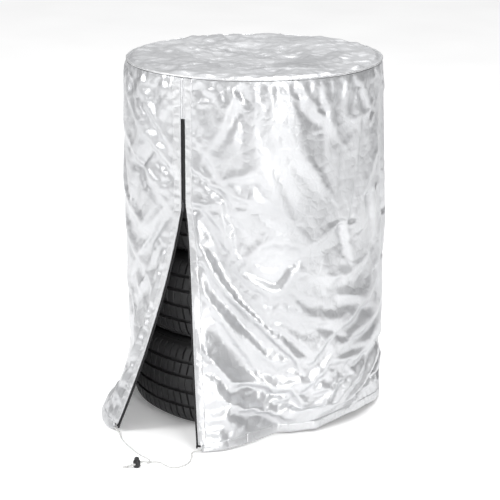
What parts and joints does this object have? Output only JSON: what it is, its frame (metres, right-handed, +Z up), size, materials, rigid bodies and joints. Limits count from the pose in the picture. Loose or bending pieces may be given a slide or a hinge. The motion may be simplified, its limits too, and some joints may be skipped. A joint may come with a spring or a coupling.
{
  "type": "tyre stack storage cover",
  "caption": "Silver fabric storage cover with a zipped front opening and a hem drawcord, standing over the stack of car tyres that it protects.",
  "frame": {"origin": "centre of the bottom tyre's footprint on the ground", "axes": "+Z up along the stack's axis, -Y to the front, where the zip runs, +X to the right seen from the front"},
  "size_m": [0.6564, 0.9579, 0.9003],
  "materials": {
    "tyre_rubber": "matte moulded rubber",
    "silver_fabric": "silver coated woven fabric, soft sheen",
    "seam_fabric": "silver coated woven fabric, doubled and stitched",
    "zip_tape": "black woven tape",
    "zip_coil": "black nylon coil",
    "zip_metal": "black enamelled metal",
    "pull_metal": "gunmetal enamel, worn at its edges",
    "cord_white": "white braided polyester",
    "lock_plastic": "black moulded plastic",
    "spring_steel": "drawn wire"
  },
  "bodies": {
    "tyre_1": {"tyre_1_tread": "tyre_rubber", "tyre_1_lower_sidewall": "tyre_rubber", "tyre_1_upper_sidewall": "tyre_rubber"},
    "tyre_2": {"tyre_2_tread": "tyre_rubber", "tyre_2_lower_sidewall": "tyre_rubber", "tyre_2_upper_sidewall": "tyre_rubber"},
    "tyre_3": {"tyre_3_tread": "tyre_rubber", "tyre_3_lower_sidewall": "tyre_rubber", "tyre_3_upper_sidewall": "tyre_rubber"},
    "tyre_4": {"tyre_4_tread": "tyre_rubber", "tyre_4_lower_sidewall": "tyre_rubber", "tyre_4_upper_sidewall": "tyre_rubber"},
    "cover": {"top_panel": "silver_fabric", "top_piping": "seam_fabric", "side_panel": "silver_fabric", "front_seam": "seam_fabric", "zip_facing_left": "seam_fabric", "zip_facing_right": "seam_fabric", "zip_tape_left": "zip_tape", "zip_tape_right": "zip_tape", "zip_coil_left": "zip_coil", "zip_coil_right": "zip_coil", "zip_top_stop": "zip_metal", "hem_casing": "seam_fabric", "hem_cord": "cord_white", "drawcord_left": "cord_white", "drawcord_right": "cord_white", "end_knot": "cord_white"},
    "left_flap": {"left_flap": "silver_fabric", "left_flap_facing": "seam_fabric", "left_flap_zip_tape": "zip_tape", "left_flap_zip_coil": "zip_coil", "left_end_stop": "zip_metal", "left_flap_hem": "seam_fabric", "left_flap_hem_cord": "cord_white"},
    "right_flap": {"right_flap": "silver_fabric", "right_flap_facing": "seam_fabric", "right_flap_zip_tape": "zip_tape", "right_flap_zip_coil": "zip_coil", "right_end_stop": "zip_metal", "right_flap_hem": "seam_fabric", "right_flap_hem_cord": "cord_white"},
    "zip_slider": {"zip_slider": "zip_metal"},
    "zip_pull": {"zip_pull_tab": "pull_metal"},
    "cord_lock": {"cord_lock_barrel": "lock_plastic", "cord_lock_spring": "spring_steel"},
    "lock_plunger": {"cord_lock_plunger": "lock_plastic"}
  },
  "joints": [
    {"name": "tyre_2_lift", "type": "slide", "parent": "tyre_1", "child": "tyre_2", "axis": [0, 0, 1], "range_m": [0, 0.25]},
    {"name": "tyre_3_lift", "type": "slide", "parent": "tyre_2", "child": "tyre_3", "axis": [0, 0, 1], "range_m": [0, 0.25]},
    {"name": "tyre_4_lift", "type": "slide", "parent": "tyre_3", "child": "tyre_4", "axis": [0, 0, 1], "range_m": [0, 0.25]},
    {"name": "cover_lift", "type": "slide", "parent": "tyre_4", "child": "cover", "axis": [0, 0, 1], "range_m": [0, 0.95]},
    {"name": "left_flap_swing", "type": "hinge", "parent": "cover", "child": "left_flap", "pos_m": [-0.016, -0.3246, 0.574], "axis": [-0.4069, 0.0734, -0.9105], "range_deg": [0, 35]},
    {"name": "right_flap_swing", "type": "hinge", "parent": "cover", "child": "right_flap", "pos_m": [0.014, -0.3247, 0.574], "axis": [-0.3036, 0.032, 0.9523], "range_deg": [0, 35]},
    {"name": "zip_slide", "type": "slide", "parent": "cover", "child": "zip_slider", "axis": [0, 0, 1], "range_m": [0, 0.2]},
    {"name": "pull_tab_swing", "type": "hinge", "parent": "zip_slider", "child": "zip_pull", "pos_m": [0, -0.3276, 0.585], "axis": [-1, 0, 0], "range_deg": [0, 160]},
    {"name": "cord_lock_slide", "type": "slide", "parent": "cover", "child": "cord_lock", "axis": [0.2541, 0.9672, 0], "range_m": [0, 0.01]},
    {"name": "lock_plunger_press", "type": "slide", "parent": "cord_lock", "child": "lock_plunger", "axis": [0, 0, -1], "range_m": [0, 0.0025], "stiffness_N_per_m": 800, "springref_m": -0.004, "deforming": ["cord_lock_spring"]}
  ]
}
